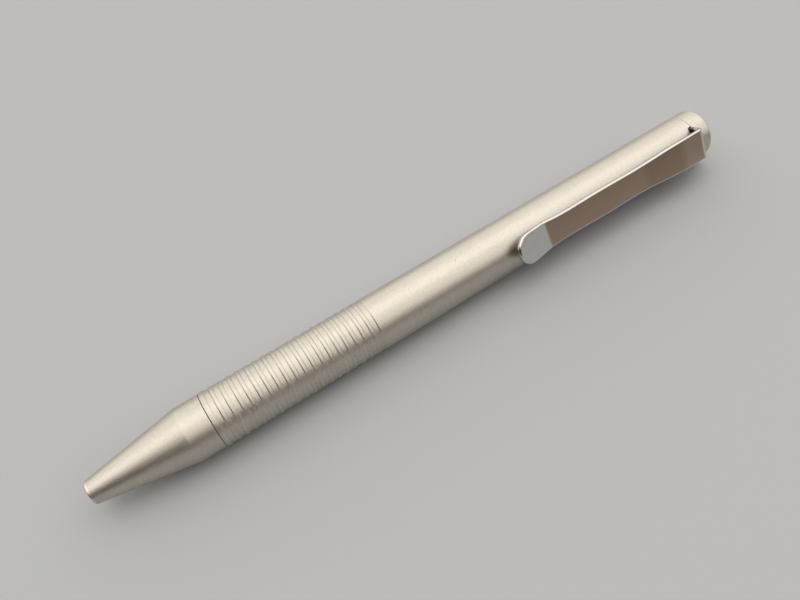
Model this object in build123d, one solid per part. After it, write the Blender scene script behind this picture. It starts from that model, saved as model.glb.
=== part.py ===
from build123d import *
from math import acos, cos, degrees, floor, pi, sin, sqrt
import os

os.makedirs("parts", exist_ok=True)

# A bolt action pen, in millimetres. Each piece is drawn with the pen's axis along X,
# its mouth at x = 0, the clip above the axis and the bolt handle below it.
# At the end the whole pen is rolled about its axis until it lies on its barrel and
# the bolt handle, and set down on z = 0 with the origin under its middle.

# Outer casing
barrel_diameter = 10.5
nose_length = 21.8
cap_length = 3.9
seam_chamfer = 0.09
cap_end_rounding = 0.4

# Nose cone, outside
mouth_diameter = 4.26
mouth_rounding = 0.25
nose_band_diameter = 10.3
nose_band_length = 4.6

# Grip grooves
groove_count = 19
groove_first_land = 0.99
groove_pitch = 1.674
groove_width = 0.978
groove_depth = 0.12
groove_wall_lean = 0.18

# Refill, a gel refill of the common 98 mm kind
refill_length = 98.1
refill_diameter = 5.9
refill_wall = 0.42
ball_diameter = 0.7
ball_show = 0.2
ball_socket_clearance = 0.02
point_lip_diameter = 0.84
point_cone_length = 2.4
point_neck_diameter = 2.3
point_reach = 7.6
point_shank_diameter = 1.5
point_shank_length = 3.4
point_channel_diameter = 0.5
holder_channel_diameter = 1.0
stem_diameter = 3.0
stem_length = 4.4
spring_shoulder_diameter = 3.9
tip_holder_cone_length = 3.0
tip_holder_plug_length = 5.0
follower_length = 6.5
air_length = 12.6
plug_length = 6.0
plug_diameter = 4.9
plug_insert_length = 5.0
plug_vent_diameter = 1.2
film_clearance = 0.03
press_clearance = 0.01

# Bolt travel and where the bolt stands, behind the refill and ahead of the barrel's rear end
bolt_travel = 5.0
bolt_turn_degrees = 33
point_recess = 2.0
bolt_behind_refill = 14.4
bolt_from_rear = 19.1

# Bores and threads of the casing
mouth_clearance = 0.1
chamber_start = 4.2
chamber_clearance = 0.2
chamber_cone_length = 1.8
chamber_margin = 0.2
nose_bore_clearance = 0.15
barrel_bore_diameter = 6.6
nose_thread_diameter = 8.0
nose_thread_pitch = 0.75
nose_spigot_length = 9.0
cap_thread_diameter = 6.0
cap_thread_pitch = 0.5
cap_spigot_length = 6.0
thread_clearance = 0.05
thread_depth_share = 0.54
spigot_end_gap = 0.3

# Seals and cushion
nose_cord_diameter = 0.6
nose_cord_groove_width = 0.9
nose_cord_land = 0.5
nose_cord_groove_diameter = 7.2
carrier_cord_diameter = 0.8
carrier_cord_groove_width = 1.1
seal_clearance = 0.02
seal_running_clearance = 0.03
cushion_thickness = 0.8
seat_gap = 0.05

# Bolt carrier
carrier_clearance = 0.07
carrier_cup_clearance = 0.1
carrier_cup_wrap = 2.5
carrier_tail_length = 10.1
carrier_end_gap = 1.2
carrier_edge_chamfer = 0.3
front_seal_from_cup = 3.0
rear_seal_from_end = 2.1

# Bolt handle and its lock screw
knob_shank_diameter = 2.6
knob_shank_past_axis = 1.2
knob_hole_clearance = 0.02
slot_clearance = 0.1
slot_edge_break = 0.2
knob_standoff = 0.2
knob_collar_diameter = 3.5
knob_collar_thickness = 0.5
knob_collar_chamfer = 0.1
knob_ball_diameter = 3.8
knob_ball_from_barrel = 1.7
lock_screw_diameter = 2.5
lock_screw_length = 4.0
lock_screw_socket_width = 1.27
lock_screw_socket_depth = 1.5

# Return spring
spring_wire_diameter = 0.3
spring_turns = 8
spring_points_per_turn = 24

# Clip: heights are of its outer face above the barrel's surface
clip_thickness = 0.9
clip_length = 50.0
clip_contact_gap = 0.1
clip_pad_height = 2.15
clip_pad_length = 6.6
clip_ramp_length = 10.0
clip_ramp_end_height = 1.47
clip_flare_length = 7.9
clip_flare_rise = 1.65
clip_bend_radius = 1.4
clip_pad_easing = 22.0
clip_ramp_easing = 30.0
clip_kink_radius = 4.0
clip_rear_width = 6.4
clip_waist_width = 5.5
clip_neck_in_width = 5.35
clip_end_width = 6.2
clip_edge_rounding = 0.3

# Clip ring, its notch in the barrel's rim and the gap at the clip's root
clip_ring_outer_diameter = 8.8
clip_ring_hole_clearance = 0.12
clip_ring_rim_clearance = 0.08
clip_ring_seat_gap = 0.02
clip_recess_margin = 0.05
clip_notch_side_clearance = 0.2
clip_root_gap = 0.1
clip_root_below_surface = 0.35

# Every cut runs on past the piece by this much
overrun = 1.0

# Edges are told apart to within this share of the seat gap
edge_match_share = 0.1

# Places that follow from the sizes above. The barrel is as long as the refill and the
# bolt behind it need, and the ink fills what the follower and the air leave of the tube.
barrel_radius = barrel_diameter / 2
bore_radius = barrel_bore_diameter / 2

refill_radius = refill_diameter / 2
refill_inner_radius = refill_radius - refill_wall
stem_x = point_recess + point_reach
shoulder_x = stem_x + stem_length
tube_x = shoulder_x + tip_holder_cone_length
tip_holder_end_x = tube_x + tip_holder_plug_length
refill_end_x = point_recess + refill_length
plug_x = refill_end_x - plug_length
follower_end_x = plug_x - plug_insert_length - air_length
ink_end_x = follower_end_x - follower_length

bolt_x = refill_end_x + bolt_behind_refill
barrel_front_x = nose_length
barrel_rear_x = bolt_x + bolt_from_rear
pen_length = barrel_rear_x + cap_length

chamber_radius = spring_shoulder_diameter / 2 + chamber_clearance
chamber_end_x = shoulder_x - bolt_travel + chamber_margin
nose_bore_radius = refill_radius + nose_bore_clearance
nose_thread_radius = nose_thread_diameter / 2
nose_seal_radius = nose_cord_groove_diameter / 2 + nose_cord_diameter + seal_clearance
nose_seal_x = barrel_front_x + nose_cord_land + nose_cord_groove_width / 2

carrier_radius = bore_radius - carrier_clearance
cup_floor_x = refill_end_x + cushion_thickness + 2 * seat_gap
carrier_front_x = refill_end_x - carrier_cup_wrap
carrier_rear_x = bolt_x + carrier_tail_length
bore_end_x = carrier_rear_x + carrier_end_gap
front_seal_x = cup_floor_x + front_seal_from_cup
rear_seal_x = carrier_rear_x - rear_seal_from_end
carrier_seal_radius = bore_radius - seal_running_clearance - carrier_cord_diameter / 2
carrier_groove_radius = carrier_seal_radius - carrier_cord_diameter / 2 - seal_clearance

shank_radius = knob_shank_diameter / 2
slot_half_width = shank_radius + slot_clearance
knob_ball_radius = knob_ball_diameter / 2
knob_ball_from_axis = barrel_radius + knob_ball_from_barrel

clip_recess_depth = clip_thickness + clip_recess_margin
clip_recess_x = barrel_rear_x - clip_recess_depth
clip_front_x = clip_recess_x + clip_ring_seat_gap
clip_back_x = clip_front_x + clip_thickness
clip_ring_radius = clip_ring_outer_diameter / 2
clip_root_height = barrel_radius - clip_root_below_surface

edge_tolerance = seat_gap * edge_match_share


def rod(radius, start, end):
    """A round bar on the pen's axis."""
    bar = Cylinder(radius, end - start, align=(Align.CENTER, Align.CENTER, Align.MIN))
    return Pos(start, 0, 0) * Rot(0, 90, 0) * bar


def turned(*outline):
    """A turned piece from its half outline, given as points (x, radius)."""
    return revolve(make_face(Polyline(*outline, close=True)), Axis.X)


def rings(solid, x, radius):
    """The round edges of a turned piece at one station and radius."""
    found = []
    for edge in solid.edges().filter_by(GeomType.CIRCLE):
        centre = edge.arc_center
        if abs(centre.X - x) < edge_tolerance and abs(edge.radius - radius) < edge_tolerance:
            found.append(edge)
    return found


def thread_grooves(crest_radius, pitch, start, end):
    """The V grooves of an outside thread between two stations, as rings."""
    depth = pitch * thread_depth_share
    grooves = []
    for turn in range(floor((end - start) / pitch)):
        x = start + turn * pitch
        grooves.append(
            turned(
                (x, crest_radius + depth / 2),
                (x + pitch / 2, crest_radius - depth),
                (x + pitch, crest_radius + depth / 2),
            )
        )
    return grooves


def cord_ring(x, centre_radius, cord_diameter):
    """A rubber ring of round cord around the pen's axis."""
    return Pos(x, 0, 0) * Rot(0, 90, 0) * Torus(centre_radius, cord_diameter / 2)


def make_nose_cone():
    """Point end of the casing with its bores and threaded spigot."""
    mouth_radius = mouth_diameter / 2
    band_radius = nose_band_diameter / 2
    crest = nose_thread_radius - thread_clearance
    spigot_end = barrel_front_x + nose_spigot_length
    groove_start = barrel_front_x + nose_cord_land
    groove_end = groove_start + nose_cord_groove_width
    outside = turned(
        (0, 0),
        (0, mouth_radius),
        (nose_length - nose_band_length, band_radius),
        (barrel_front_x, band_radius),
        (barrel_front_x, crest),
        (groove_start, crest),
        (groove_start, nose_cord_groove_diameter / 2),
        (groove_end, nose_cord_groove_diameter / 2),
        (groove_end, crest),
        (spigot_end, crest),
        (spigot_end, 0),
    )
    outside = fillet(rings(outside, 0, mouth_radius), mouth_rounding)
    outside = chamfer(rings(outside, barrel_front_x, band_radius), seam_chamfer)
    mouth_bore = point_neck_diameter / 2 + mouth_clearance
    inside = turned(
        (-overrun, 0),
        (-overrun, mouth_bore),
        (chamber_start, mouth_bore),
        (chamber_start, chamber_radius),
        (chamber_end_x, chamber_radius),
        (chamber_end_x + chamber_cone_length, nose_bore_radius),
        (spigot_end + overrun, nose_bore_radius),
        (spigot_end + overrun, 0),
    )
    thread_start = groove_end + nose_cord_land
    return outside - inside - thread_grooves(crest, nose_thread_pitch, thread_start, spigot_end)


def grip_grooves():
    """What the grip's grooves take away, with walls that lean outwards from a flat floor."""
    floor_radius = barrel_radius - groove_depth
    brim_radius = barrel_radius + groove_depth
    foot = groove_wall_lean / 2
    brim = foot + groove_wall_lean
    grooves = []
    for groove in range(groove_count):
        front = barrel_front_x + groove_first_land + groove * groove_pitch
        rear = front + groove_width
        grooves.append(
            turned(
                (front + foot, floor_radius),
                (front - brim, brim_radius),
                (rear + brim, brim_radius),
                (rear - foot, floor_radius),
            )
        )
    return grooves


def make_barrel():
    """The long tube with its grip grooves, bolt slot and clip notch."""
    seal_bore = nose_seal_radius + nose_cord_diameter / 2 + seal_running_clearance
    seal_bore_end = nose_seal_x + nose_cord_groove_width / 2 + nose_cord_land
    thread_end = barrel_front_x + nose_spigot_length + spigot_end_gap
    cap_bore = cap_thread_diameter / 2
    recess_radius = clip_ring_radius + clip_ring_rim_clearance
    tube = rod(barrel_radius, barrel_front_x, barrel_rear_x)
    tube = chamfer(rings(tube, barrel_front_x, barrel_radius), seam_chamfer)
    tube = chamfer(rings(tube, barrel_rear_x, barrel_radius), seam_chamfer)
    tube -= turned(
        (barrel_front_x - overrun, 0),
        (barrel_front_x - overrun, seal_bore),
        (seal_bore_end, seal_bore),
        (seal_bore_end, nose_thread_radius),
        (thread_end, nose_thread_radius),
        (thread_end, bore_radius),
        (bore_end_x, bore_radius),
        (bore_end_x, cap_bore),
        (clip_recess_x, cap_bore),
        (clip_recess_x, recess_radius),
        (barrel_rear_x + overrun, recess_radius),
        (barrel_rear_x + overrun, 0),
    )
    notch_width = clip_rear_width + 2 * clip_notch_side_clearance
    notch = Box(
        clip_recess_depth + overrun,
        notch_width,
        barrel_radius + overrun,
        align=(Align.MIN, Align.CENTER, Align.MIN),
    )
    return tube - grip_grooves() - Pos(clip_recess_x, 0, 0) * notch - make_slot()


def slot_window(half_width, inner, outer):
    """The bolt's way through the wall: a straight run with a side notch at each end."""
    stations = (bolt_x, bolt_x - bolt_travel)
    height = outer - inner
    run = Box(bolt_travel, 2 * half_width, height, align=(Align.MIN, Align.CENTER, Align.MAX))
    window = Pos(bolt_x - bolt_travel, 0, -inner) * run
    post = Cylinder(half_width, height, align=(Align.CENTER, Align.CENTER, Align.MAX))
    for x in stations:
        band = make_face(
            Polyline(
                (x - half_width, 0, -inner),
                (x + half_width, 0, -inner),
                (x + half_width, 0, -outer),
                (x - half_width, 0, -outer),
                close=True,
            )
        )
        window += revolve(band, Axis.X, revolution_arc=bolt_turn_degrees)
        window += Pos(x, 0, -inner) * post
        window += Rot(bolt_turn_degrees, 0, 0) * Pos(x, 0, -inner) * post
    return window


def make_slot():
    """The slot's window, opened a little wider at the barrel's skin to break its edge."""
    window = slot_window(slot_half_width, bore_radius - overrun, barrel_radius + overrun)
    skin = barrel_radius - slot_edge_break
    return window + slot_window(slot_half_width + slot_edge_break, skin, barrel_radius + overrun)


def make_rear_cap():
    """End cap with the threaded spigot that clamps the clip's ring."""
    crest = cap_thread_diameter / 2 - thread_clearance
    spigot_x = barrel_rear_x - cap_spigot_length
    head = rod(barrel_radius, barrel_rear_x, pen_length)
    head = fillet(rings(head, pen_length, barrel_radius), cap_end_rounding)
    head = chamfer(rings(head, barrel_rear_x, barrel_radius), seam_chamfer)
    spigot = rod(crest, spigot_x, barrel_rear_x + overrun)
    grooves = thread_grooves(crest, cap_thread_pitch, spigot_x, clip_recess_x)
    return head + (spigot - grooves)


def clip_outline():
    """The clip seen from above, with its waist and round free end."""
    free_x = barrel_rear_x - clip_length
    end_radius = clip_end_width / 2
    pad_x = clip_back_x - clip_pad_length
    ramp_x = pad_x - clip_ramp_length
    kink_x = free_x + clip_flare_length
    arm_middle_x = (ramp_x + kink_x) / 2
    side = [
        (clip_back_x + overrun, clip_rear_width / 2),
        (pad_x, clip_rear_width / 2),
        (ramp_x, clip_waist_width / 2),
        (arm_middle_x, clip_waist_width / 2),
        (kink_x + end_radius, clip_neck_in_width / 2),
        (free_x + end_radius, end_radius),
    ]
    upper = Line(side[0], side[1]) + Spline(*side[1:], tangents=((-1, 0), (-1, 0)))
    lower = mirror(upper, Plane.XZ)
    nose = ThreePointArc((free_x + end_radius, end_radius), (free_x, 0), (free_x + end_radius, -end_radius))
    back = Line(side[0], (side[0][0], -side[0][1]))
    return make_face(upper + nose + lower + back)


def make_clip():
    """Spring arm, from its root in the notch over the bend to the flared free end."""
    pad_height = barrel_radius + clip_pad_height
    ramp_end_height = barrel_radius + clip_ramp_end_height
    contact_height = barrel_radius + clip_contact_gap + clip_thickness
    free_x = barrel_rear_x - clip_length
    pad_x = clip_back_x - clip_pad_length
    root = clip_root_height + clip_root_gap / 2
    outer = FilletPolyline(
        (clip_back_x, 0, root),
        (clip_back_x, 0, pad_height),
        (pad_x, 0, pad_height),
        (pad_x - clip_ramp_length, 0, ramp_end_height),
        (free_x + clip_flare_length, 0, contact_height),
        (free_x, 0, contact_height + clip_flare_rise),
        radius=[clip_bend_radius, clip_pad_easing, clip_ramp_easing, clip_kink_radius],
    )
    section = make_face(offset(outer, amount=clip_thickness, side=Side.RIGHT))
    strip = extrude(section, clip_rear_width / 2, both=True)
    arm = strip & extrude(clip_outline(), contact_height + clip_flare_rise + overrun)
    return fillet(clip_long_edges(arm, root), clip_edge_rounding)


def clip_long_edges(arm, root):
    """The edges that run along the clip's two broad faces, without those of its root."""
    edges = []
    for edge in arm.edges():
        box = edge.bounding_box()
        level = box.size.X < edge_tolerance
        across = level and box.size.Z < edge_tolerance
        upright = level and box.size.Y < edge_tolerance and box.min.Z > root + edge_tolerance
        at_root = box.max.Z < root + edge_tolerance
        if not (across or upright or at_root):
            edges.append(edge)
    return edges


def make_clip_ring():
    """The clip's ring tang and the neck that reaches into the notch."""
    hole = cap_thread_diameter / 2 + clip_ring_hole_clearance
    neck = Box(
        clip_thickness,
        clip_rear_width,
        clip_root_height - clip_root_gap / 2,
        align=(Align.MIN, Align.CENTER, Align.MIN),
    )
    ring = rod(clip_ring_radius, clip_front_x, clip_back_x) + Pos(clip_front_x, 0, 0) * neck
    return ring - rod(hole, clip_front_x - overrun, clip_back_x + overrun)


def make_bolt_carrier():
    """Plunger with the cup for the refill's end, seal grooves and the bolt's hole."""
    body = rod(carrier_radius, carrier_front_x, carrier_rear_x)
    body = chamfer(rings(body, carrier_front_x, carrier_radius), carrier_edge_chamfer)
    body = chamfer(rings(body, carrier_rear_x, carrier_radius), carrier_edge_chamfer)
    body -= rod(plug_diameter / 2 + carrier_cup_clearance, carrier_front_x - overrun, cup_floor_x)
    for x in (front_seal_x, rear_seal_x):
        start = x - carrier_cord_groove_width / 2
        end = start + carrier_cord_groove_width
        body -= rod(carrier_radius + overrun, start, end) - rod(carrier_groove_radius, start, end)
    screw_hole = lock_screw_diameter / 2 + knob_hole_clearance
    body -= rod(screw_hole, bolt_x, carrier_rear_x + overrun)
    bolt_hole = Cylinder(
        shank_radius + knob_hole_clearance,
        carrier_radius + knob_shank_past_axis + overrun,
        align=(Align.CENTER, Align.CENTER, Align.MAX),
    )
    return body - Pos(bolt_x, 0, knob_shank_past_axis + seat_gap) * bolt_hole


def make_bolt_knob():
    """Bolt handle: shank, collar and ball, standing out below the barrel."""
    collar_top = barrel_radius + knob_standoff
    shank = Cylinder(
        shank_radius,
        knob_shank_past_axis + knob_ball_from_axis,
        align=(Align.CENTER, Align.CENTER, Align.MAX),
    )
    collar = Cylinder(
        knob_collar_diameter / 2,
        knob_collar_thickness,
        align=(Align.CENTER, Align.CENTER, Align.MAX),
    )
    collar = chamfer(collar.edges().filter_by(GeomType.CIRCLE), knob_collar_chamfer)
    knob = Pos(0, 0, knob_shank_past_axis) * shank + Pos(0, 0, -collar_top) * collar
    knob += Pos(0, 0, -knob_ball_from_axis) * Sphere(knob_ball_radius)
    return Pos(bolt_x, 0, 0) * knob


def make_knob_set_screw():
    """Headless screw with a hexagon socket that locks the bolt's shank."""
    start = bolt_x + shank_radius + knob_hole_clearance
    end = start + lock_screw_length
    screw = rod(lock_screw_diameter / 2, start, end)
    socket_radius = lock_screw_socket_width / sqrt(3)
    socket = extrude(RegularPolygon(socket_radius, 6), lock_screw_socket_depth + overrun)
    return screw - Pos(end - lock_screw_socket_depth, 0, 0) * Rot(0, 90, 0) * socket


def make_refill_cushion():
    """Rubber disc between the refill's end and the carrier's cup."""
    start = refill_end_x + seat_gap
    return rod(plug_diameter / 2, start, start + cushion_thickness)


def make_refill_point():
    """Metal writing point: cone, neck and the shank pressed into its holder."""
    lip = point_lip_diameter / 2
    neck = point_neck_diameter / 2
    shank = point_shank_diameter / 2
    front = point_recess + ball_show
    point = turned(
        (front, 0),
        (front, lip),
        (point_recess + point_cone_length, neck),
        (stem_x - press_clearance, neck),
        (stem_x - press_clearance, shank),
        (stem_x + point_shank_length, shank),
        (stem_x + point_shank_length, 0),
    )
    ball_x = point_recess + ball_diameter / 2
    point -= Pos(ball_x, 0, 0) * Sphere(ball_diameter / 2 + ball_socket_clearance)
    return point - rod(point_channel_diameter / 2, ball_x, stem_x + point_shank_length + overrun)


def make_refill_ball():
    """The writing ball."""
    return Pos(point_recess + ball_diameter / 2, 0, 0) * Sphere(ball_diameter / 2)


def make_refill_tip_holder():
    """Stem, spring shoulder and plug that carry the point in the refill's tube."""
    socket = point_shank_diameter / 2 + press_clearance
    plug = refill_inner_radius - press_clearance
    holder = turned(
        (stem_x, 0),
        (stem_x, stem_diameter / 2),
        (shoulder_x, stem_diameter / 2),
        (shoulder_x, spring_shoulder_diameter / 2),
        (tube_x - press_clearance, refill_radius),
        (tube_x - press_clearance, plug),
        (tip_holder_end_x, plug),
        (tip_holder_end_x, 0),
    )
    holder -= rod(socket, stem_x - overrun, stem_x + point_shank_length + seat_gap)
    return holder - rod(holder_channel_diameter / 2, stem_x, tip_holder_end_x + overrun)


def make_refill_tube():
    """Clear tube that holds the ink."""
    outer = rod(refill_radius, tube_x, plug_x - press_clearance)
    return outer - rod(refill_inner_radius, tube_x - overrun, plug_x + overrun)


def make_refill_ink():
    """The column of ink."""
    return rod(refill_inner_radius - film_clearance, tip_holder_end_x + film_clearance, ink_end_x)


def make_refill_follower():
    """The plug of clear grease that follows the ink down the tube."""
    return rod(refill_inner_radius - film_clearance, ink_end_x + film_clearance, follower_end_x)


def make_refill_plug():
    """Vented plug at the refill's rear end."""
    insert = refill_inner_radius - press_clearance
    plug = turned(
        (plug_x - plug_insert_length, 0),
        (plug_x - plug_insert_length, insert),
        (plug_x, insert),
        (plug_x, plug_diameter / 2),
        (refill_end_x, plug_diameter / 2),
        (refill_end_x, 0),
    )
    return plug - rod(plug_vent_diameter / 2, plug_x - plug_insert_length - overrun, refill_end_x + overrun)


def spring_curve(start, end, radius, turns):
    """The spring's centre line: four pairs of tangent arcs to each turn."""
    steps = 4 * turns
    lead = (end - start) / (2 * pi * turns)

    def station(step):
        angle = 2 * pi * turns * step / steps
        return Vector(start + lead * angle, radius * cos(angle), radius * sin(angle))

    def heading(step):
        angle = 2 * pi * turns * step / steps
        return Vector(lead, -radius * sin(angle), radius * cos(angle)).normalized()

    arcs = []
    for step in range(steps):
        first, last = station(step), station(step + 1)
        leave, arrive = heading(step), heading(step + 1)
        chord = last - first
        along = chord.dot(leave + arrive)
        spread = 2 * (1 - leave.dot(arrive))
        reach = (sqrt(along * along + spread * chord.dot(chord)) - along) / spread
        middle = (first + leave * reach + last - arrive * reach) / 2
        arcs.append(TangentArc(first, middle, tangent=leave))
        arcs.append(TangentArc(middle, last, tangent=middle_heading(first, leave, middle)))
    return Wire([arc.edge() for arc in arcs])


def middle_heading(first, leave, middle):
    """The direction in which the arc from a point with a given heading arrives."""
    chord = (middle - first).normalized()
    return (chord * (2 * chord.dot(leave)) - leave).normalized()


def least_gap(path, turns, wire_diameter):
    """The least gap between a coil's turns, measured on points along its centre line."""
    count = turns * spring_points_per_turn
    points = [path @ (number / count) for number in range(count + 1)]
    half_turn = spring_points_per_turn // 2
    gaps = []
    for number, point in enumerate(points):
        for other in points[number + half_turn :]:
            gaps.append((other - point).length - wire_diameter)
    return min(gaps)


def make_return_spring():
    """Return spring between the nose's inner shoulder and the refill's shoulder."""
    wire = spring_wire_diameter / 2
    radius = (stem_diameter / 2 + chamber_radius) / 2
    start = chamber_start + wire + seat_gap
    end = shoulder_x - wire - seat_gap
    path = spring_curve(start, end, radius, spring_turns)
    print(f"spring: least gap between turns {least_gap(path, spring_turns, spring_wire_diameter):.3f} mm")
    return sweep(Plane(origin=path @ 0, z_dir=path % 0) * Circle(wire), path)


pieces = {
    "nose_cone": make_nose_cone(),
    "nose_oring": cord_ring(nose_seal_x, nose_seal_radius - nose_cord_diameter / 2, nose_cord_diameter),
    "barrel": make_barrel(),
    "rear_cap": make_rear_cap(),
    "clip": make_clip(),
    "clip_ring": make_clip_ring(),
    "bolt_carrier": make_bolt_carrier(),
    "carrier_front_oring": cord_ring(front_seal_x, carrier_seal_radius, carrier_cord_diameter),
    "carrier_rear_oring": cord_ring(rear_seal_x, carrier_seal_radius, carrier_cord_diameter),
    "bolt_knob": make_bolt_knob(),
    "knob_set_screw": make_knob_set_screw(),
    "refill_cushion": make_refill_cushion(),
    "refill_point": make_refill_point(),
    "refill_ball": make_refill_ball(),
    "refill_tip_holder": make_refill_tip_holder(),
    "refill_tube": make_refill_tube(),
    "refill_ink": make_refill_ink(),
    "refill_follower": make_refill_follower(),
    "refill_plug": make_refill_plug(),
    "return_spring": make_return_spring(),
}

# The pen lies on its barrel and on the bolt handle's ball, which touches the surface
# when the pen is rolled this far from having its clip uppermost.
roll = degrees(acos((barrel_radius - knob_ball_radius) / knob_ball_from_axis))
rolled = {name: Rot(roll, 0, 0) * piece for name, piece in pieces.items()}
boxes = [piece.bounding_box() for piece in rolled.values()]
middle_x = (min(box.min.X for box in boxes) + max(box.max.X for box in boxes)) / 2
middle_y = (min(box.min.Y for box in boxes) + max(box.max.Y for box in boxes)) / 2
set_down = Pos(-middle_x, -middle_y, barrel_radius)

print(f"roll {roll:.4f} degrees, axis at y = {-middle_y:.4f}, z = {barrel_radius:.4f}")
print(f"mouth at x = {-middle_x:.4f}")
for name, piece in rolled.items():
    export_step(set_down * piece, f"parts/{name}.step")
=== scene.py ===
"""Dresses the bolt action pen: its finishes, the wound spring, and the floor, light and camera around it.

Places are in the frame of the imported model: +X from the writing point to the cap, +Z up. Places and the
sizes of pieces are in metres, written as millimetres times MM. Sizes on a surface are in millimetres.
"""

import logging
import math
from collections.abc import Mapping, Sequence
from dataclasses import dataclass
from enum import Enum
from functools import reduce

import bpy
from mathutils import Matrix, Vector


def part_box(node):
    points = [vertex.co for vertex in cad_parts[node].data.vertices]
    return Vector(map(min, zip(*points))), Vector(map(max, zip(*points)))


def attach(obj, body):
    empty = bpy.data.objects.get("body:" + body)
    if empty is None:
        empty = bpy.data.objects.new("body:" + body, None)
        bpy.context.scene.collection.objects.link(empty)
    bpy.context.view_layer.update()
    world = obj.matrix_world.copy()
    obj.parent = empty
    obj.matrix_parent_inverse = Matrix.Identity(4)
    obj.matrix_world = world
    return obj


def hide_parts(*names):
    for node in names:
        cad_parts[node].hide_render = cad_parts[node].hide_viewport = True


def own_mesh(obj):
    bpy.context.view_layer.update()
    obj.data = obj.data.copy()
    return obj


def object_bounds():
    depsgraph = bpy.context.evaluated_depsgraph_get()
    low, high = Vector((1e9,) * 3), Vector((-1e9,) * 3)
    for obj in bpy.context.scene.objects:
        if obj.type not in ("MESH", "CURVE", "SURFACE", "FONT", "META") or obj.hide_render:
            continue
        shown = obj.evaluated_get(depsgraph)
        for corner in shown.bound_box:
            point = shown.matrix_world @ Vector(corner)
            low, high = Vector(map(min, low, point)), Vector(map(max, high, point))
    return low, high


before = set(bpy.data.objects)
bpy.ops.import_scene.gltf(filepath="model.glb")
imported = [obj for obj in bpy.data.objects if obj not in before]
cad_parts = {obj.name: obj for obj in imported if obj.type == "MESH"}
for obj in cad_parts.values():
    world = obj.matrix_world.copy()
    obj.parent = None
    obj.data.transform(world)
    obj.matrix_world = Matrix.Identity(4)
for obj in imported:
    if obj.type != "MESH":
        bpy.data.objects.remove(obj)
cad_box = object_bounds()

MM = 0.001
TOLERANCE = 0.01 * MM
FULL_TURN = 2 * math.pi
NOISE_AVERAGE = 0.5

log = logging.getLogger("pen")

Colour = tuple[float, float, float]
Place = tuple[float, float, float]
Span = tuple[float, float]


class Blend(Enum):
    """How one colour is laid on another."""

    COVER = "MIX"
    TINT = "MULTIPLY"


class Layers(Enum):
    """How many finer layers a noise carries."""

    SMOOTH = 1.0
    SOFT = 2.0
    ROUGH = 3.0
    RAGGED = 4.0


class Slot(Enum):
    """The record's material slots."""

    TITANIUM = "titanium"
    POLISHED_STEEL = "polished_steel"
    STEEL = "steel"
    BRASS = "brass"
    RUBBER = "rubber"
    CLEAR_PLASTIC = "clear_plastic"
    PLASTIC = "plastic"
    INK = "ink"
    GREASE = "grease"


class Link:
    """One output of a shader node."""

    def __init__(self, graph: "Graph", socket: bpy.types.NodeSocket) -> None:
        """Keeps the socket and the graph that it belongs to."""
        self.graph = graph
        self.socket = socket


class Number(Link):
    """An output that carries a number, on which arithmetic adds Math nodes."""

    def __add__(self, other: "Number | float") -> "Number":
        """Sum."""
        return self.graph.math("ADD", self, other)

    def __radd__(self, other: float) -> "Number":
        """Sum with a plain number first."""
        return self.graph.math("ADD", other, self)

    def __sub__(self, other: "Number | float") -> "Number":
        """Difference."""
        return self.graph.math("SUBTRACT", self, other)

    def __rsub__(self, other: float) -> "Number":
        """Difference from a plain number."""
        return self.graph.math("SUBTRACT", other, self)

    def __mul__(self, other: "Number | float") -> "Number":
        """Product."""
        return self.graph.math("MULTIPLY", self, other)

    def __rmul__(self, other: float) -> "Number":
        """Product with a plain number first."""
        return self.graph.math("MULTIPLY", other, self)

    def __truediv__(self, other: "Number | float") -> "Number":
        """Quotient."""
        return self.graph.math("DIVIDE", self, other)

    def __rtruediv__(self, other: float) -> "Number":
        """Plain number divided by this one."""
        return self.graph.math("DIVIDE", other, self)

    def __abs__(self) -> "Number":
        """Size without sign."""
        return self.graph.math("ABSOLUTE", self)

    def most(self, other: "Number | float") -> "Number":
        """The larger of two numbers."""
        return self.graph.math("MAXIMUM", self, other)

    def below(self, limit: float) -> "Number":
        """Gives 1 where this number is less than a limit, and 0 elsewhere."""
        return self.graph.math("LESS_THAN", self, limit)

    def swing(self, amount: "Number | float") -> "Number":
        """How far a noise lies from its average, times an amount."""
        return (self - NOISE_AVERAGE) * amount

    def rise(self, start: float, end: float) -> "Number":
        """Eases from 0 to 1 while this number goes from start to end.

        Args:
            start: where the result is 0; it may lie above end.
            end: where the result is 1.

        Returns:
            The eased share.
        """
        share = (self - start) / (end - start)
        settings = {"interpolation_type": "SMOOTHSTEP"}
        return self.graph.node("MapRange", settings, {"Value": share}, "Result")


class Triple(Link):
    """An output that carries a vector, on which arithmetic adds Vector Math nodes."""

    def __sub__(self, other: "Triple | Sequence[float]") -> "Triple":
        """Difference."""
        return self.graph.vector_math("SUBTRACT", self, other)

    def __rsub__(self, other: Sequence[float]) -> "Triple":
        """Difference from a fixed vector."""
        return self.graph.vector_math("SUBTRACT", other, self)

    def __mul__(self, other: "Triple | Sequence[float]") -> "Triple":
        """Product, part by part."""
        return self.graph.vector_math("MULTIPLY", self, other)

    def __rmul__(self, other: Sequence[float]) -> "Triple":
        """Fixed vector times this one, part by part."""
        return self.graph.vector_math("MULTIPLY", other, self)

    def __truediv__(self, other: "Triple | Sequence[float]") -> "Triple":
        """Quotient, part by part."""
        return self.graph.vector_math("DIVIDE", self, other)

    def __rtruediv__(self, other: Sequence[float]) -> "Triple":
        """Fixed vector divided by this one, part by part."""
        return self.graph.vector_math("DIVIDE", other, self)

    def length(self) -> Number:
        """The vector's length."""
        return self.graph.vector_math("LENGTH", self, output="Value")

    def dot(self, other: "Triple | Sequence[float]") -> Number:
        """The dot product."""
        return self.graph.vector_math("DOT_PRODUCT", self, other, output="Value")

    def part(self, letter: str) -> Number:
        """One part, by its letter X, Y or Z."""
        return self.graph.node("SeparateXYZ", {}, {0: self}, letter)


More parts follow.
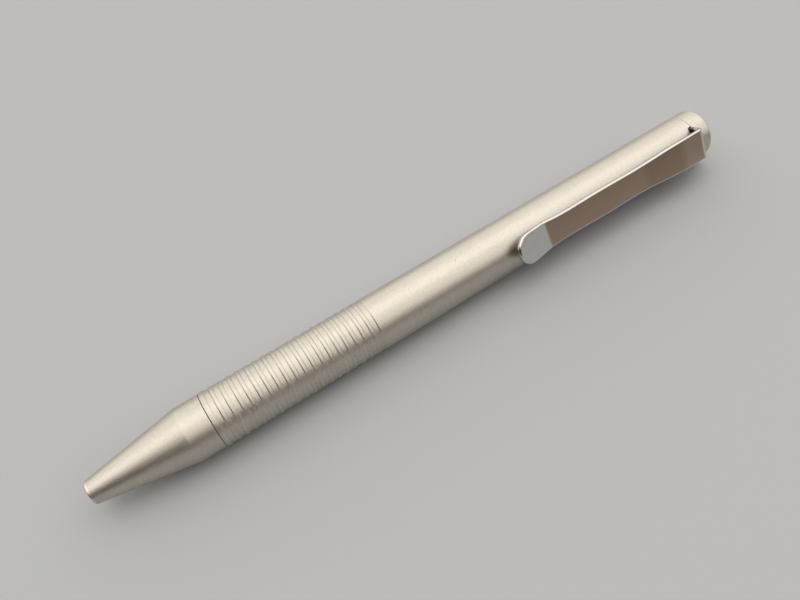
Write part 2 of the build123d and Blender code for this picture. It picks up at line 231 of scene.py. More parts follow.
class Tint(Link):
    """An output that carries a colour, which is laid on others through Mix nodes."""

    def under(self, other: "Tint | Colour", share: Number | float) -> "Tint":
        """This colour with a share of another, from 0 to 1, laid on it."""
        return self.graph.mix(self, other, share)

    def __mul__(self, other: "Tint | Colour") -> "Tint":
        """This colour tinted by another."""
        return self.graph.mix(self, other, 1.0, Blend.TINT)

    def __rmul__(self, other: Colour) -> "Tint":
        """A fixed colour tinted by this one."""
        return self.graph.mix(other, self, 1.0, Blend.TINT)


Value = Link | float | Sequence[float]
LINK_CLASSES: dict[str, type[Link]] = {"VALUE": Number, "VECTOR": Triple, "RGBA": Tint}


class Graph:
    """The shader nodes of one material or of the world."""

    def __init__(self, tree: bpy.types.NodeTree) -> None:
        """Takes over a node tree and empties it."""
        self.tree = tree
        self.tree.nodes.clear()

    def _add(self, kind: str, settings: Mapping[str, object],
             inputs: Mapping[int | str, Value]) -> bpy.types.Node:
        """Adds one node.

        Args:
            kind: its type, without the words ShaderNode.
            settings: its own settings, such as a Math node's operation, which are set first.
            inputs: values or links for its sockets, by name or place.

        Returns:
            The node.
        """
        node = self.tree.nodes.new("ShaderNode" + kind)
        for name, value in settings.items():
            setattr(node, name, value)
        for key, value in inputs.items():
            self._feed(self._socket(node.inputs, key), value)
        return node

    def node(self, kind: str, settings: Mapping[str, object], inputs: Mapping[int | str, Value],
             output: int | str = 0) -> Link:
        """Adds one node and takes one of its outputs.

        Args:
            kind: its type, without the words ShaderNode.
            settings: its own settings, such as a Math node's operation, which are set first.
            inputs: values or links for its sockets, by name or place.
            output: the output that is wanted, by name or place.

        Returns:
            That output, as the class that fits what it carries.
        """
        node = self._add(kind, settings, inputs)
        socket = self._socket(node.outputs, output)
        return LINK_CLASSES.get(socket.type, Link)(self, socket)

    def math(self, operation: str, *terms: Number | float) -> Number:
        """The result of one Math node on some terms."""
        return self.node("Math", {"operation": operation}, dict(enumerate(terms)))

    def vector_math(self, operation: str, *terms: Triple | Sequence[float],
                    output: str = "Vector") -> Triple | Number:
        """The named output of one Vector Math node on some terms."""
        return self.node("VectorMath", {"operation": operation}, dict(enumerate(terms)), output)

    def mix(self, base: Tint | Colour, top: Tint | Colour, share: Number | float,
            blend: Blend = Blend.COVER) -> Tint:
        """The base colour with a share of the top one, from 0 to 1, laid on it."""
        settings = {"data_type": "RGBA", "blend_type": blend.value}
        return self.node("Mix", settings, {"Factor": share, "A": base, "B": top}, "Result")

    def grey(self, level: Number) -> Tint:
        """A grey as light as a number says."""
        return self.node("CombineColor", {}, {"Red": level, "Green": level, "Blue": level})

    def place(self) -> Triple:
        """The point of the surface, in millimetres in the pen's frame at rest."""
        return self.node("TexCoord", {}, {}, "Object") / (MM, MM, MM)

    def noise(self, place: Triple, size: float | Sequence[float], layers: Layers) -> Number:
        """Soft random patches.

        Args:
            place: the point, in millimetres.
            size: how large the patches are, in millimetres, alike or along X, Y and Z.
            layers: how many finer layers lie on them.

        Returns:
            A number from 0 to 1, with NOISE_AVERAGE as its average.
        """
        sizes = (size, size, size) if isinstance(size, float) else size
        inputs = {"Vector": place / sizes, "Scale": 1.0, "Detail": layers.value}
        return self.node("TexNoise", {}, inputs, "Fac")

    def specks(self, place: Triple, spacing: float, radius: float, share: float,
               core: float = 0.5) -> Number:
        """Small round spots, scattered.

        Args:
            place: the point, in millimetres.
            spacing: how far apart they could lie, in millimetres.
            radius: how large each is, in millimetres.
            share: how many of the possible spots are there, from 0 to 1.
            core: the share of its radius in which a spot is full.

        Returns:
            A number that is 1 in a spot and 0 elsewhere.
        """
        inputs = {"Vector": place / (spacing, spacing, spacing), "Scale": 1.0}
        near = self.node("TexVoronoi", {}, inputs, "Distance")
        pick = self.node("TexVoronoi", {}, inputs, "Position")
        chance = self.node("TexWhiteNoise", {}, {"Vector": pick}, "Value")
        return near.rise(radius / spacing, core * radius / spacing) * chance.below(share)

    def relief(self, height: Number, depth: float, below: Link | None = None) -> Link:
        """Small relief, as a Bump node.

        Args:
            height: the relief, from 0 to 1.
            depth: how deep it is, in millimetres.
            below: relief that this lies on, if any.

        Returns:
            The normal.
        """
        inputs = {"Height": height, "Distance": depth * MM, "Strength": 1.0}
        if below is not None:
            inputs["Normal"] = below
        return self.node("Bump", {}, inputs, "Normal")

    def finish(self, shader: Link, kind: str = "Material") -> None:
        """Joins a shader to the output of the tree, whose kind is Material or World."""
        self._add("Output" + kind, {}, {"Surface": shader})

    @staticmethod
    def _socket(sockets: bpy.types.bpy_prop_collection, key: int | str) -> bpy.types.NodeSocket:
        """Finds a socket.

        Args:
            sockets: a node's inputs or outputs.
            key: the socket's place or name.

        Returns:
            The socket, and of several with one name the one that is in use.
        """
        if isinstance(key, int):
            return sockets[key]
        return next(socket for socket in sockets if socket.name == key and socket.enabled)

    def _feed(self, socket: bpy.types.NodeSocket, value: Value) -> None:
        """Links an input or sets its value.

        Args:
            socket: the input.
            value: a link, a number, or the parts of a vector or colour.
        """
        if isinstance(value, Link):
            self.tree.links.new(value.socket, socket)
        elif socket.type == "RGBA":
            socket.default_value = (*value, 1.0)
        else:
            socket.default_value = value


def marks(apart: Sequence[Number], width: float) -> Number:
    """Soft marks at several places: 1 where a distance to one of them is 0, and 0 from a width on."""
    return reduce(Number.most, [distance.rise(width, 0.0) for distance in apart])


@dataclass(frozen=True)
class Axis:
    """The pen's long axis, which runs along X."""

    y: float
    z: float

    @classmethod
    def of(cls, node: str) -> "Axis":
        """The axis of a turned CAD node, through the middle of its box."""
        low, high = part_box(node)
        return cls((low.y + high.y) / 2, (low.z + high.z) / 2)

    def reach(self, node: str, x: float) -> float:
        """The largest distance from the axis to a CAD node's end face, which lies at x."""
        points = [vertex.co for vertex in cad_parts[node].data.vertices]
        return max(math.hypot(p.y - self.y, p.z - self.z) for p in points if abs(p.x - x) < TOLERANCE)

    def radius(self, place: Triple) -> Number:
        """How far a point of a surface lies from the axis, in millimetres."""
        across = place * (0.0, 1.0, 1.0) - (0.0, self.y / MM, self.z / MM)
        return across.length()

    def point(self, x: float, radius: float, angle: float) -> Vector:
        """A point at a distance and an angle around the axis."""
        return Vector((x, self.y + radius * math.cos(angle), self.z + radius * math.sin(angle)))


@dataclass(frozen=True)
class Finish:
    """What a kind of surface looks like.

    What it measures on the surface is in millimetres. Roughness, shades, strengths and shares go from 0
    to 1. A range gives the noise at which a patch starts and the noise at which it is full.
    """

    name: str
    colour: Colour
    roughness: float

    def shader(self, graph: Graph) -> Link:
        """Makes the finish's shader; each kind of finish has its own."""
        raise NotImplementedError

    def material(self) -> bpy.types.Material:
        """Makes the finish's material, once.

        Returns:
            The material.
        """
        name = self.name + "_finish"
        found = bpy.data.materials.get(name)
        if found:
            return found
        made = bpy.data.materials.new(name)
        made.use_nodes = True
        graph = Graph(made.node_tree)
        graph.finish(self.shader(graph))
        return made

    def dress(self, thing: bpy.types.Object) -> None:
        """Gives an object this finish in all its material slots.

        Args:
            thing: a CAD node or a piece of this script's own.
        """
        if not thing.material_slots:
            thing.data.materials.append(None)
        for slot in thing.material_slots:
            slot.material = self.material()


@dataclass(frozen=True)
class BlastedTitanium(Finish):
    """Turned titanium, blasted with fine beads: matt, warm grey, a little worn along its rims, which also
    carry a painted highlight, and with painted shade on the walls of the clip's notch.

    The fields without a value are places on the casing, in metres: its rims, which are worn and carry a
    painted highlight, each as a place along the pen and a distance from its axis, its seams, its grip, the
    clip's notch, and the distance from the axis within which the notch's walls lie and are painted with
    shade.
    """

    edges: tuple[Span, ...]
    seams: tuple[float, ...]
    grip: Span
    notch: Span
    wall_reach: float
    wall_fade: float = 0.08
    plain_shade: float = 0.95
    grain_size: float = 0.14
    grain_depth: float = 0.012
    grain_shade: float = 0.26
    pit_size: float = 0.45
    pit_depth: float = 0.009
    pit_shade: float = 0.24
    pit_roughness: float = 0.1
    mottle_size: float = 5.0
    mottle_shade: float = 0.08
    mottle_roughness: float = 0.06
    hairline_width: float = 0.22
    hairline_length: float = 14.0
    hairline_depth: float = 0.005
    hairline_shade: float = 0.05
    grip_shade: float = 0.2
    grip_fade: float = 0.5
    rim_wear_and_highlight_width: float = 0.5
    rim_patch_size: float = 0.9
    rim_patch_range: Span = (0.15, 0.5)
    rim_wear_and_highlight_strength: float = 0.8
    # worn rims and painted highlight: this pale colour also stands in for the rims' bright reflection
    rim_wear_and_highlight_colour: Colour = (0.9, 0.87, 0.81)
    worn_roughness: float = 0.24
    speck_spacing: float = 2.0
    speck_radius: float = 0.14
    speck_share: float = 0.25
    speck_strength: float = 0.6
    speck_colour: Colour = (0.12, 0.105, 0.09)
    seam_width: float = 0.07
    # dark seams, and painted shade on the notch's walls, share this colour
    seam_dirt_and_notch_shade_colour: Colour = (0.07, 0.06, 0.05)

    def shader(self, graph: Graph) -> Link:
        """Makes grain, pits, hairlines of the turning, specks, worn rims with a painted highlight, dark
        seams and painted shade in the notch, on a rough metal.

        Args:
            graph: the material's nodes.

        Returns:
            The shader.
        """
        place = graph.place()
        along = place.part("X")
        radius = Axis.of("nose_cone").radius(place)
        grain = graph.noise(place, self.grain_size, Layers.ROUGH)
        pits = graph.noise(place, self.pit_size, Layers.SOFT)
        mottle = graph.noise(place, self.mottle_size, Layers.ROUGH)
        hairline = (self.hairline_width, self.hairline_length, self.hairline_length)
        hairlines = graph.noise(place, hairline, Layers.SOFT)
        on_grip = self._on_grip(along)
        specks = graph.specks(place, self.speck_spacing, self.speck_radius, self.speck_share)
        patches = graph.noise(place, self.rim_patch_size, Layers.ROUGH).rise(*self.rim_patch_range)
        rim_wear_and_highlight = self._at_edges(along, radius) * patches * self.rim_wear_and_highlight_strength
        # dirt in the seams, and painted shade on the notch's walls
        seam_dirt_and_notch_shade = self._at_seams(along).most(self._notch_painted_shade(along, radius))
        shade = self.plain_shade + grain.swing(self.grain_shade) + pits.swing(self.pit_shade)
        shade = shade + mottle.swing(self.mottle_shade)
        shade = shade + hairlines.swing(self.hairline_shade + on_grip * self.grip_shade)
        colour = self.colour * graph.grey(shade)
        colour = colour.under(self.speck_colour, specks * self.speck_strength)
        # painted highlight: the rims are painted pale, for wear and for their bright reflection
        colour = colour.under(self.rim_wear_and_highlight_colour, rim_wear_and_highlight)
        # painted shade: the notch's walls are painted nearly black, and the seams dark
        colour = colour.under(self.seam_dirt_and_notch_shade_colour, seam_dirt_and_notch_shade)
        rough = self.roughness + pits.swing(self.pit_roughness) + mottle.swing(self.mottle_roughness)
        rough = rough + (self.worn_roughness - self.roughness) * rim_wear_and_highlight
        relief = graph.relief(grain, self.grain_depth)
        relief = graph.relief(pits, self.pit_depth, relief)
        relief = graph.relief(hairlines * on_grip, self.hairline_depth, relief)
        inputs = {"Base Color": colour, "Metallic": 1.0, "Roughness": rough, "Normal": relief}
        return graph.node("BsdfPrincipled", {}, inputs)

    def _on_grip(self, along: Number) -> Number:
        """Marks the grooved grip: 1 on it and 0 elsewhere."""
        start, end = (station / MM for station in self.grip)
        return along.rise(start - self.grip_fade, start) * along.rise(end + self.grip_fade, end)

    def _at_edges(self, along: Number, radius: Number) -> Number:
        """Marks the rims, painted pale for wear and as a painted highlight: 1 at a rim and 0 away from it.
        """
        apart = [abs(along - station / MM).most(abs(radius - reach / MM)) for station, reach in self.edges]
        return marks(apart, self.rim_wear_and_highlight_width)

    def _at_seams(self, along: Number) -> Number:
        """Marks the seams, where dirt stays: 1 at a seam and 0 away from it."""
        return marks([abs(along - station / MM) for station in self.seams], self.seam_width)

    def _notch_painted_shade(self, along: Number, radius: Number) -> Number:
        """Marks painted shade on what lies inside the casing's skin at the clip's notch, where no light
        comes.

        Args:
            along: the point's place along the pen, in millimetres.
            radius: how far it lies from the pen's axis, in millimetres.

        Returns:
            A number that is 1 on the notch's walls, where shade is painted, and 0 on the skin.
        """
        start, end = (station / MM for station in self.notch)
        inside = radius.rise(self.wall_reach / MM, self.wall_reach / MM - self.wall_fade)
        return inside * along.rise(start, start + self.wall_fade) * along.rise(end + self.wall_fade, end)


@dataclass(frozen=True)
class PolishedSteel(Finish):
    """Polished spring steel with faint lines, a few smudges and scuffs, rougher at the clip's root, where
    painted shade makes it nearly black.

    The field without a value is where the front of the root, which is rougher and painted dark with shade,
    lies along the pen, in metres. The root's height gives the distances from the pen's axis at which it
    starts and is full. Its fade gives the far and the near end, on both sides of that front, of the change
    to bare steel before it and to the sides behind.
    """

    root_place: float
    root_height: Span = (6.9, 6.0)
    root_fade: Span = (0.1, 0.05)
    root_side: float = 0.7
    # painted shade: the root's near black stands in for the shadow in the notch
    root_painted_shade_colour: Colour = (0.035, 0.032, 0.03)
    root_roughness: float = 0.5
    plain_shade: float = 0.93
    scuff_width: float = 0.45
    scuff_length: float = 7.0
    scuff_range: Span = (0.5, 0.8)
    scuff_shade: float = 0.1
    scuff_roughness: float = 0.08
    line_width: float = 0.07
    line_length: float = 9.0
    line_depth: float = 0.0004
    line_shade: float = 0.06
    line_roughness: float = 0.02
    smudge_size: float = 4.0
    smudge_range: Span = (0.5, 0.75)
    smudge_shade: float = 0.05
    smudge_roughness: float = 0.05
    wave_size: float = 7.0
    wave_depth: float = 0.012

    def shader(self, graph: Graph) -> Link:
        """Makes lines, smudges, scuffs, the slight waviness of a polished strip, and painted shade at its
        root.

        Args:
            graph: the material's nodes.

        Returns:
            The shader.
        """
        place = graph.place()
        line = (self.line_length, self.line_width, self.line_width)
        lines = graph.noise(place, line, Layers.SOFT)
        smudges = graph.noise(place, self.smudge_size, Layers.RAGGED).rise(*self.smudge_range)
        scuff = (self.scuff_width, self.scuff_length, self.scuff_length)
        scuffs = graph.noise(place, scuff, Layers.ROUGH).rise(*self.scuff_range)
        waves = graph.noise(place, self.wave_size, Layers.SMOOTH)
        root_painted_shade = self._root_painted_shade(place)
        shade = self.plain_shade + lines * self.line_shade
        shade = shade - smudges * self.smudge_shade - scuffs * self.scuff_shade
        colour = self.colour * graph.grey(shade)
        # painted shade at the clip's root
        colour = colour.under(self.root_painted_shade_colour, root_painted_shade)
        rough = self.roughness + smudges * self.smudge_roughness
        rough = rough + lines * self.line_roughness + scuffs * self.scuff_roughness
        rough = rough + (self.root_roughness - self.roughness) * root_painted_shade
        relief = graph.relief(waves, self.wave_depth)
        relief = graph.relief(lines, self.line_depth, relief)
        inputs = {"Base Color": colour, "Metallic": 1.0, "Roughness": rough, "Normal": relief}
        return graph.node("BsdfPrincipled", {}, inputs)

    def _root_painted_shade(self, place: Triple) -> Number:
        """Marks the clip's root, where its tang stands in the notch and shade is painted.

        Args:
            place: the point, in millimetres.

        Returns:
            A number that is 1 on the root's front, a little less on its sides, and 0 elsewhere.
        """
        along = place.part("X")
        low = Axis.of("nose_cone").radius(place).rise(*self.root_height)
        start = self.root_place / MM
        far, near = self.root_fade
        front = along.rise(start - far, start - near)
        side = 1 - (1 - self.root_side) * along.rise(start + near, start + far)
        return low * front * side


@dataclass(frozen=True)
class TurnedMetal(Finish):
    """Bare turned or drawn metal, with fine rings around it and a thin dull film in patches."""

    film_colour: Colour
    plain_shade: float = 0.9
    ring_width: float = 0.05
    ring_length: float = 6.0
    ring_depth: float = 0.001
    ring_shade: float = 0.15
    ring_roughness: float = 0.06
    film_size: float = 1.8
    film_range: Span = (0.42, 0.7)
    film_strength: float = 0.5
    film_roughness: float = 0.12

    def shader(self, graph: Graph) -> Link:
        """Makes the rings of the tool, and the film.

        Args:
            graph: the material's nodes.

        Returns:
            The shader.
        """
        place = graph.place()
        rings = graph.noise(place, (self.ring_width, self.ring_length, self.ring_length), Layers.SOFT)
        film = graph.noise(place, self.film_size, Layers.RAGGED).rise(*self.film_range)
        colour = graph.mix(self.colour, self.film_colour, film * self.film_strength)
        colour = colour * graph.grey(self.plain_shade + rings * self.ring_shade)
        rough = self.roughness + film * self.film_roughness + rings * self.ring_roughness
        relief = graph.relief(rings, self.ring_depth)
        inputs = {"Base Color": colour, "Metallic": 1.0, "Roughness": rough, "Normal": relief}
        return graph.node("BsdfPrincipled", {}, inputs)


@dataclass(frozen=True)
class Rubber(Finish):
    """Black seal rubber, matt, with a dusting of lint."""

    gloss: float = 0.4
    grain_size: float = 0.12
    grain_depth: float = 0.003
    grain_roughness: float = 0.15
    dust_size: float = 0.6
    dust_range: Span = (0.55, 0.8)
    dust_strength: float = 0.5
    dust_colour: Colour = (0.13, 0.13, 0.125)

    def shader(self, graph: Graph) -> Link:
        """Makes the grain, and dust in patches.

        Args:
            graph: the material's nodes.

        Returns:
            The shader.
        """
        place = graph.place()
        grain = graph.noise(place, self.grain_size, Layers.ROUGH)
        dust = graph.noise(place, self.dust_size, Layers.ROUGH).rise(*self.dust_range)
        colour = graph.mix(self.colour, self.dust_colour, dust * self.dust_strength)
        rough = self.roughness + grain * self.grain_roughness
        relief = graph.relief(grain, self.grain_depth)
        inputs = {"Base Color": colour, "Roughness": rough, "Specular IOR Level": self.gloss,
                  "Normal": relief}
        return graph.node("BsdfPrincipled", {}, inputs)


@dataclass(frozen=True)
class ClearPlastic(Finish):
    """Extruded or cast see-through plastic, or grease, with faint lines along it."""

    clearness: float
    refraction: float = 1.5
    plain_shade: float = 0.92
    line_width: float = 0.25
    line_length: float = 12.0
    line_depth: float = 0.002
    line_shade: float = 0.12
    line_roughness: float = 0.08

    def shader(self, graph: Graph) -> Link:
        """Makes a see-through body with flow lines.

        Args:
            graph: the material's nodes.

        Returns:
            The shader.
        """
        place = graph.place()
        lines = graph.noise(place, (self.line_length, self.line_width, self.line_width), Layers.SOFT)
        colour = self.colour * graph.grey(self.plain_shade + lines * self.line_shade)
        rough = self.roughness + lines * self.line_roughness
        relief = graph.relief(lines, self.line_depth)
        inputs = {"Base Color": colour, "Roughness": rough, "Transmission Weight": self.clearness,
                  "IOR": self.refraction, "Normal": relief}
        return graph.node("BsdfPrincipled", {}, inputs)


@dataclass(frozen=True)
class MouldedPlastic(Finish):
    """Moulded plastic or thick ink: even, with a faint texture."""

    plain_shade: float = 0.9
    texture_size: float = 0.3
    texture_depth: float = 0.002
    texture_roughness: float = 0.12
    mottle_size: float = 3.0
    mottle_shade: float = 0.14

    def shader(self, graph: Graph) -> Link:
        """Makes faint mottling and texture.

        Args:
            graph: the material's nodes.

        Returns:
            The shader.
        """
        place = graph.place()
        texture = graph.noise(place, self.texture_size, Layers.ROUGH)
        mottle = graph.noise(place, self.mottle_size, Layers.SOFT)
        colour = self.colour * graph.grey(self.plain_shade + mottle * self.mottle_shade)
        rough = self.roughness + texture * self.texture_roughness
        relief = graph.relief(texture, self.texture_depth)
        inputs = {"Base Color": colour, "Roughness": rough, "Normal": relief}
        return graph.node("BsdfPrincipled", {}, inputs)


STEEL = TurnedMetal(name=Slot.STEEL.value, colour=(0.6, 0.595, 0.58), roughness=0.22,
                    film_colour=(0.38, 0.36, 0.33))
RUBBER = Rubber(name=Slot.RUBBER.value, colour=(0.02, 0.02, 0.021), roughness=0.5)


def put(name: str, data: bpy.types.ID) -> bpy.types.Object:
    """Adds an object to the scene.

    Args:
        name: the new object's name.
        data: its mesh, lamp or camera.

    Returns:
        The object.
    """
    thing = bpy.data.objects.new(name, data)
    bpy.context.scene.collection.objects.link(thing)
    return thing


def skin(name: str, rings: Sequence[Sequence[Vector]]) -> bpy.types.Object:
    """Makes a closed body through rings of points.

    Args:
        name: the new object's name.
        rings: rings with as many points each, in order from one end to the other.

    Returns:
        The object, with its ends closed.
    """
    around = len(rings[0])
    points = [point for ring in rings for point in ring]
    faces = []
    for row in range(len(rings) - 1):
        for column in range(around):
            beside = (column + 1) % around
            faces.append((row * around + column, row * around + beside,
                          (row + 1) * around + beside, (row + 1) * around + column))
    last = (len(rings) - 1) * around
    faces.append(tuple(reversed(range(around))))
    faces.append(tuple(range(last, last + around)))
    mesh = bpy.data.meshes.new(name)
    mesh.from_pydata(points, [], faces)
    mesh.validate()
    mesh.shade_smooth()
    return put(name, mesh)


def wire(name: str, path: Sequence[Vector], radius: float, sides: int) -> bpy.types.Object:
    """Makes round wire along a path.

    Args:
        name: the new object's name.
        path: the points that the wire's middle follows.
        radius: the wire's radius.
        sides: how many points go around it.

    Returns:
        The object.
    """
    rings = []
    side = Vector((0, 0, 1))
    for index, point in enumerate(path):
        ahead = path[min(index + 1, len(path) - 1)] - path[max(index - 1, 0)]
        ahead.normalize()
        side = (side - ahead * side.dot(ahead)).normalized()
        other = ahead.cross(side)
        angles = [FULL_TURN * step / sides for step in range(sides)]
        rings.append([point + (side * math.cos(a) + other * math.sin(a)) * radius for a in angles])
    return skin(name, rings)


@dataclass
class Casing:
    """The titanium casing: nose, barrel and cap, with the nose's seal.

    The grip's share says where it starts and ends along the barrel. The skin's depth is how far down the
    notch's walls still look as the skin does; deeper, they are painted dark as shade.
    """

    colour: Colour = (0.565, 0.527, 0.47)
    roughness: float = 0.4
    grip_share: Span = (0.0, 0.29)
    notch_length: float = 3.0 * MM
    skin_depth: float = 0.03 * MM

    def titanium(self) -> BlastedTitanium:
        """Works out the casing's finish, with its marks where the casing's pieces end.

        Returns:
            The finish.
        """
        nose_low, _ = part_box("nose_cone")
        barrel_low, barrel_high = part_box("barrel")
        _, cap_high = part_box("rear_cap")
        axis = Axis.of("nose_cone")
        length = barrel_high.x - barrel_low.x
        ends = (("nose_cone", nose_low.x), ("rear_cap", cap_high.x))
        return BlastedTitanium(
            name=Slot.TITANIUM.value,
            colour=self.colour,
            roughness=self.roughness,
            edges=tuple((x, axis.reach(node, x)) for node, x in ends),
            seams=(barrel_low.x, barrel_high.x),
            grip=tuple(barrel_low.x + share * length for share in self.grip_share),
            notch=(barrel_high.x - self.notch_length, barrel_high.x),
            wall_reach=(barrel_high.y - barrel_low.y) / 2 - self.skin_depth,
        )

    def dress(self) -> None:
        """Gives the casing's nodes their finishes."""
        titanium = self.titanium()
        for node in ("nose_cone", "barrel", "rear_cap"):
            titanium.dress(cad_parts[node])
        RUBBER.dress(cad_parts["nose_oring"])


@dataclass
class PocketClip:
    """The clip and the ring tang that the cap clamps."""

    colour: Colour = (0.6, 0.59, 0.575)
    roughness: float = 0.11

    def dress(self) -> None:
        """Gives both nodes polished steel, which is rougher and painted dark with shade where the tang
        stands in the notch.
        """
        ring_low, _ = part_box("clip_ring")
        steel = PolishedSteel(name=Slot.POLISHED_STEEL.value, colour=self.colour, roughness=self.roughness,
                              root_place=ring_low.x)
        for node in ("clip", "clip_ring"):
            steel.dress(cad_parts[node])


@dataclass
class BoltAction:
    """The bolt: its brass carrier with seals and cushion, the handle and its set screw."""

    brass: TurnedMetal = TurnedMetal(name=Slot.BRASS.value, colour=(0.78, 0.58, 0.28), roughness=0.24,
                                     film_colour=(0.42, 0.27, 0.12))

    def dress(self, titanium: BlastedTitanium) -> None:
        """Gives the bolt's nodes their finishes.

        Args:
            titanium: the casing's finish, which the handle shares.
        """
        self.brass.dress(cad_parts["bolt_carrier"])
        titanium.dress(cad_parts["bolt_knob"])
        STEEL.dress(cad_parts["knob_set_screw"])
        for node in ("carrier_front_oring", "carrier_rear_oring", "refill_cushion"):
            RUBBER.dress(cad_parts[node])


@dataclass
class Refill:
    """The gel refill: point, ball, holder, tube, ink, grease and plug."""

    tube: ClearPlastic = ClearPlastic(name=Slot.CLEAR_PLASTIC.value, colour=(0.93, 0.95, 0.96),
                                      roughness=0.1, clearness=0.9)
    grease: ClearPlastic = ClearPlastic(name=Slot.GREASE.value, colour=(0.86, 0.8, 0.62),
                                        roughness=0.15, clearness=0.6)
    plastic: MouldedPlastic = MouldedPlastic(name=Slot.PLASTIC.value, colour=(0.72, 0.72, 0.7),
                                             roughness=0.38)
    ink: MouldedPlastic = MouldedPlastic(name=Slot.INK.value, colour=(0.008, 0.008, 0.012),
                                         roughness=0.12)

    def dress(self) -> None:
        """Gives the refill's nodes their finishes."""
        finishes = {
            "refill_point": STEEL,
            "refill_ball": STEEL,
            "refill_tip_holder": self.plastic,
            "refill_tube": self.tube,
            "refill_ink": self.ink,
            "refill_follower": self.grease,
            "refill_plug": self.plastic,
        }
        for node, finish in finishes.items():
            finish.dress(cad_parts[node])


@dataclass
class ReturnSpring:
    """The spring around the refill's point, wound with closed end turns.

    The pitch changes from closed to open over the easing turns.
    """

    wire_radius: float = 0.15 * MM
    open_turns: float = 6.5
    closed_turns: float = 1.25
    closed_pitch: float = 0.32 * MM
    easing_turns: float = 0.5
    steps_per_turn: int = 40
    sides: int = 12
    travel: float = 5.0 * MM

    def path(self) -> list[Vector]:
        """Works out the line of the wire: even turns in the middle and closed ones at the ends.

        Returns:
            Its points, from the front end to the rear one.
        """
        low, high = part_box("return_spring")
        axis = Axis.of("return_spring")
        radius = (high.y - low.y) / 2 - self.wire_radius
        length = high.x - low.x - 2 * self.wire_radius
        turns = self.open_turns + 2 * self.closed_turns
        steps = round(turns * self.steps_per_turn)
        open_pitch = (length - 2 * self.closed_turns * self.closed_pitch) / self.open_turns
        pitches = []
        for step in range(steps):
            turn = (step + 0.5) * turns / steps
            from_closed = min(turn, turns - turn) - self.closed_turns
            opened = min(max(from_closed / self.easing_turns + 0.5, 0.0), 1.0)
            pitches.append(self.closed_pitch + (open_pitch - self.closed_pitch) * opened)
        stretch = length / sum(pitches)
        x = low.x + self.wire_radius
        points = [axis.point(x, radius, 0.0)]
        for step, pitch in enumerate(pitches):
            x += pitch * stretch
            points.append(axis.point(x, radius, FULL_TURN * (step + 1) * turns / steps))
        return points

    def build(self) -> bpy.types.Object:
        """Winds the spring in place of the CAD one, and hangs it on the barrel's body.

        Returns:
            The spring.
        """
        spring = wire("wound_spring", self.path(), self.wire_radius, self.sides)
        STEEL.dress(spring)
        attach(spring, "barrel")
        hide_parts("return_spring")
        middle = Axis.of("return_spring")
        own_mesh(spring)
        return spring


def away(azimuth: float, elevation: float) -> Vector:
    """Works out the direction away from the pen at two angles.

    Args:
        azimuth: degrees around the vertical; 0 is the side of -Y, and 90 that of +X.
        elevation: degrees above the floor.

    Returns:
        A vector of length 1.
    """
    a = math.radians(azimuth)
    e = math.radians(elevation)
    return Vector((math.sin(a) * math.cos(e), -math.cos(a) * math.cos(e), math.sin(e)))


@dataclass(frozen=True)
class Softbox:
    """A large soft lamp that looks at a point; angles are in degrees, and the brightness is its face's."""

    name: str
    azimuth: float
    elevation: float
    distance: float
    width: float
    height: float
    brightness: float
    colour: Colour
    aim: Place = (0.0, 0.0, 0.0)

    def hang(self) -> None:
        """Puts the lamp up."""
        data = bpy.data.lights.new(self.name, "AREA")
        data.shape = "RECTANGLE"
        data.size = self.width
        data.size_y = self.height
        data.energy = self.brightness * math.pi * self.width * self.height
        data.color = self.colour
        lamp = put(self.name, data)
        outward = away(self.azimuth, self.elevation)
        lamp.location = Vector(self.aim) + outward * self.distance
        lamp.rotation_euler = outward.to_track_quat("Z", "Y").to_euler()


@dataclass(frozen=True)
class Room:
    """The plain surroundings: bright above and behind, dim in front, where the viewer stands.

    Azimuth and elevation point to the middle of the bright side, and the cosines of the angle from it say
    where the brightness starts and where it is full. Heights and depths are the Z and the Y of a direction
    of length 1, at which one colour starts to give way to the next and at which it has.
    """

    bright: Colour = (1.43, 1.38, 1.285)
    low: Colour = (0.56, 0.57, 0.54)
    glow: Colour = (0.305, 0.217, 0.158)
    shade: Colour = (0.05, 0.044, 0.038)
    azimuth: float = 134.0
    elevation: float = 46.0
    bright_cosine: Span = (-0.2, 0.22)
    low_height: Span = (0.0, 0.4)
    glow_height: Span = (0.03, 0.19)
    front_height: Span = (0.17, 0.37)
    front_depth: Span = (-0.3, 0.3)

    def light(self) -> None:
        """Sets the world."""
        world = bpy.data.worlds.new("room")
        world.use_nodes = True
        bpy.context.scene.world = world
        graph = Graph(world.node_tree)
        towards = graph.node("TexCoord", {}, {}, "Generated")
        height = towards.part("Z")
        depth = towards.part("Y")
        share = towards.dot(away(self.azimuth, self.elevation)).rise(*self.bright_cosine)
        share = share * height.rise(*self.front_height).most(depth.rise(*self.front_depth))
        behind = graph.mix(self.low, self.bright, height.rise(*self.low_height))
        in_front = graph.mix(self.glow, self.shade, height.rise(*self.glow_height))
        inputs = {"Color": graph.mix(in_front, behind, share), "Strength": 1.0}
        graph.finish(graph.node("Background", {}, inputs), "World")


@dataclass(frozen=True)
class Floor(Finish):
    """The plain pale surface that the pen lies on; its width is in metres."""

    width: float = 3.0
    gloss: float = 0.2

    def shader(self, graph: Graph) -> Link:
        """Makes an even matt surface."""
        inputs = {"Base Color": self.colour, "Roughness": self.roughness, "Specular IOR Level": self.gloss}
        return graph.node("BsdfPrincipled", {}, inputs)

    def lay(self, height: float) -> None:
        """Lays the floor.

        Args:
            height: the height that it lies at.
        """
        half = self.width / 2
        corners = ((-half, -half), (half, -half), (half, half), (-half, half))
        mesh = bpy.data.meshes.new("floor")
        mesh.from_pydata([(x, y, height) for x, y in corners], [], [(0, 1, 2, 3)])
        floor = put("floor", mesh)
        self.dress(floor)


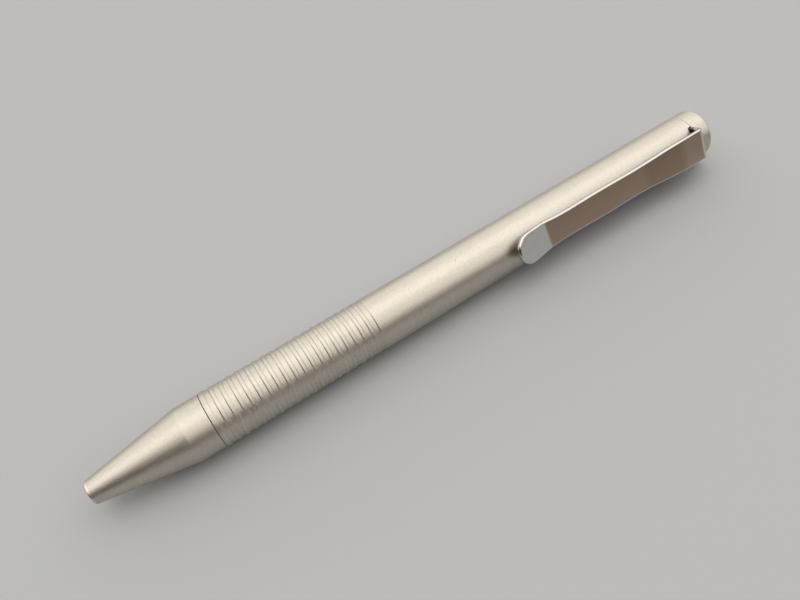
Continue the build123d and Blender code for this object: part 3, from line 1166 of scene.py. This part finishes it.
@dataclass(frozen=True)
class PhotoCamera:
    """The camera, as fitted to the photograph; angles are in degrees, lens and sensor in millimetres."""

    aim: Place = (-7.29 * MM, 1.542 * MM, 5.25 * MM)
    distance: float = 118.34 * MM
    nearest: float = 1 * MM
    azimuth: float = -24.39
    elevation: float = 50.58
    roll: float = -11.43
    lens: float = 28.14
    sensor: float = 36.0

    def place(self) -> None:
        """Sets the scene's camera."""
        data = bpy.data.cameras.new("camera")
        data.lens = self.lens
        data.sensor_width = self.sensor
        data.sensor_fit = "HORIZONTAL"
        data.clip_start = self.nearest
        camera = put("camera", data)
        outward = away(self.azimuth, self.elevation)
        facing = outward.to_track_quat("Z", "Y").to_matrix().to_4x4()
        turned = facing @ Matrix.Rotation(math.radians(self.roll), 4, "Z")
        camera.matrix_world = Matrix.Translation(Vector(self.aim) + outward * self.distance) @ turned
        bpy.context.scene.camera = camera


@dataclass(frozen=True)
class Studio:
    """Floor, lamp, surroundings and camera."""

    floor: Floor = Floor(name="floor", colour=(0.37, 0.38, 0.396), roughness=0.8)
    lamp: Softbox = Softbox(name="overhead", azimuth=180.0, elevation=84.0, distance=0.6, width=1.6,
                            height=0.42, brightness=0.5, colour=(1.0, 0.97, 0.92))
    room: Room = Room()
    camera: PhotoCamera = PhotoCamera()

    def set_up(self) -> None:
        """Builds the whole studio around the pen."""
        low, _ = cad_box
        self.floor.lay(low[2])
        self.lamp.hang()
        self.room.light()
        self.camera.place()
        bpy.context.scene.view_settings.view_transform = "Standard"


def main() -> None:
    """Builds and dresses the pen, sub-assembly by sub-assembly, and sets up its picture."""
    logging.basicConfig(level=logging.INFO, format="%(message)s")
    casing = Casing()
    casing.dress()
    log.info("casing dressed")
    PocketClip().dress()
    log.info("clip dressed")
    BoltAction().dress(casing.titanium())
    log.info("bolt dressed")
    Refill().dress()
    log.info("refill dressed")
    spring = ReturnSpring().build()
    log.info("%s wound, %d faces", spring.name, len(spring.data.polygons))
    Studio().set_up()
    log.info("studio set up")


if __name__ == "__main__":
    main()
